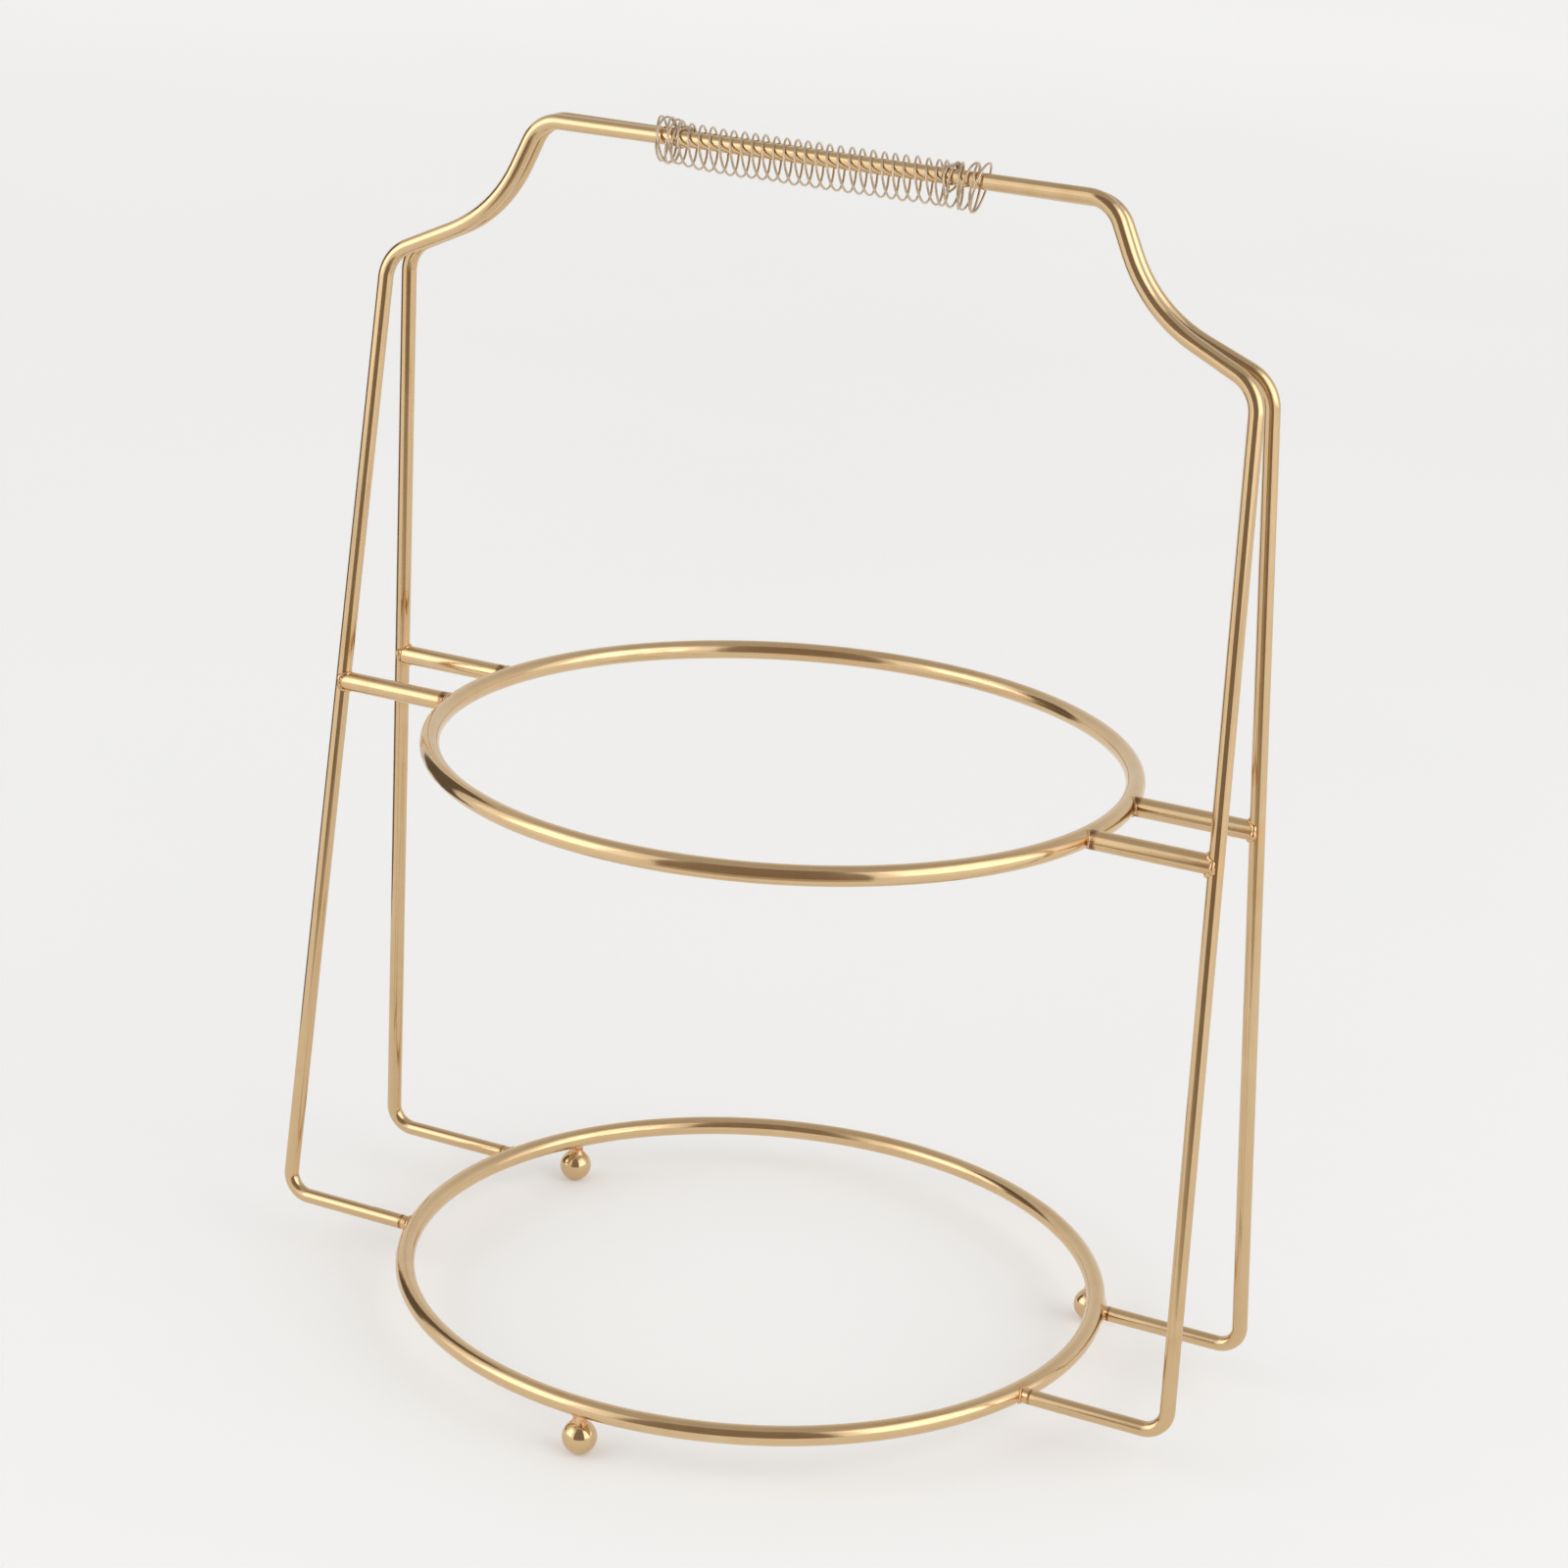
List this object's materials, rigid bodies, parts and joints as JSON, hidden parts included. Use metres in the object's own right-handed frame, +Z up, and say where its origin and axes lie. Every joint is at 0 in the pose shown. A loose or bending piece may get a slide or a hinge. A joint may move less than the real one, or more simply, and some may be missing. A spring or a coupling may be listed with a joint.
{
  "type": "two-tier wire cake stand",
  "caption": "Two-tier display stand of bent gold-coloured wire, with a round plate ring on each tier, ball feet, stepped shoulders and a coil-wrapped carrying bar.",
  "frame": {"origin": "on the tabletop, under the rings' common centre", "axes": "+Z up, +X along the top bars, +Y from the front frame to the rear frame"},
  "size_m": [0.2826, 0.2075, 0.34],
  "materials": {
    "gold_frame_wire": "polished light gold plate",
    "gold_ring_wire": "polished light gold plate",
    "gold_ball": "polished light gold plate",
    "gold_coil": "bright drawn wire, light gold plate",
    "gold_weld": "plated weld metal, slightly rippled"
  },
  "bodies": {
    "root": {"front_frame": "gold_frame_wire", "rear_frame": "gold_frame_wire", "lower_ring": "gold_ring_wire", "upper_ring": "gold_ring_wire", "stub_front_left": "gold_ring_wire", "stub_front_right": "gold_ring_wire", "stub_rear_left": "gold_ring_wire", "stub_rear_right": "gold_ring_wire", "foot_front": "gold_ball", "foot_rear_left": "gold_ball", "foot_rear_right": "gold_ball", "handle_coil": "gold_coil", "weld_base_front_left": "gold_weld", "weld_base_front_right": "gold_weld", "weld_base_rear_left": "gold_weld", "weld_base_rear_right": "gold_weld", "weld_ring_front_left": "gold_weld", "weld_ring_front_right": "gold_weld", "weld_ring_rear_left": "gold_weld", "weld_ring_rear_right": "gold_weld", "weld_leg_front_left": "gold_weld", "weld_leg_front_right": "gold_weld", "weld_leg_rear_left": "gold_weld", "weld_leg_rear_right": "gold_weld", "weld_foot_front": "gold_weld", "weld_foot_rear_left": "gold_weld", "weld_foot_rear_right": "gold_weld"}
  },
  "joints": []
}
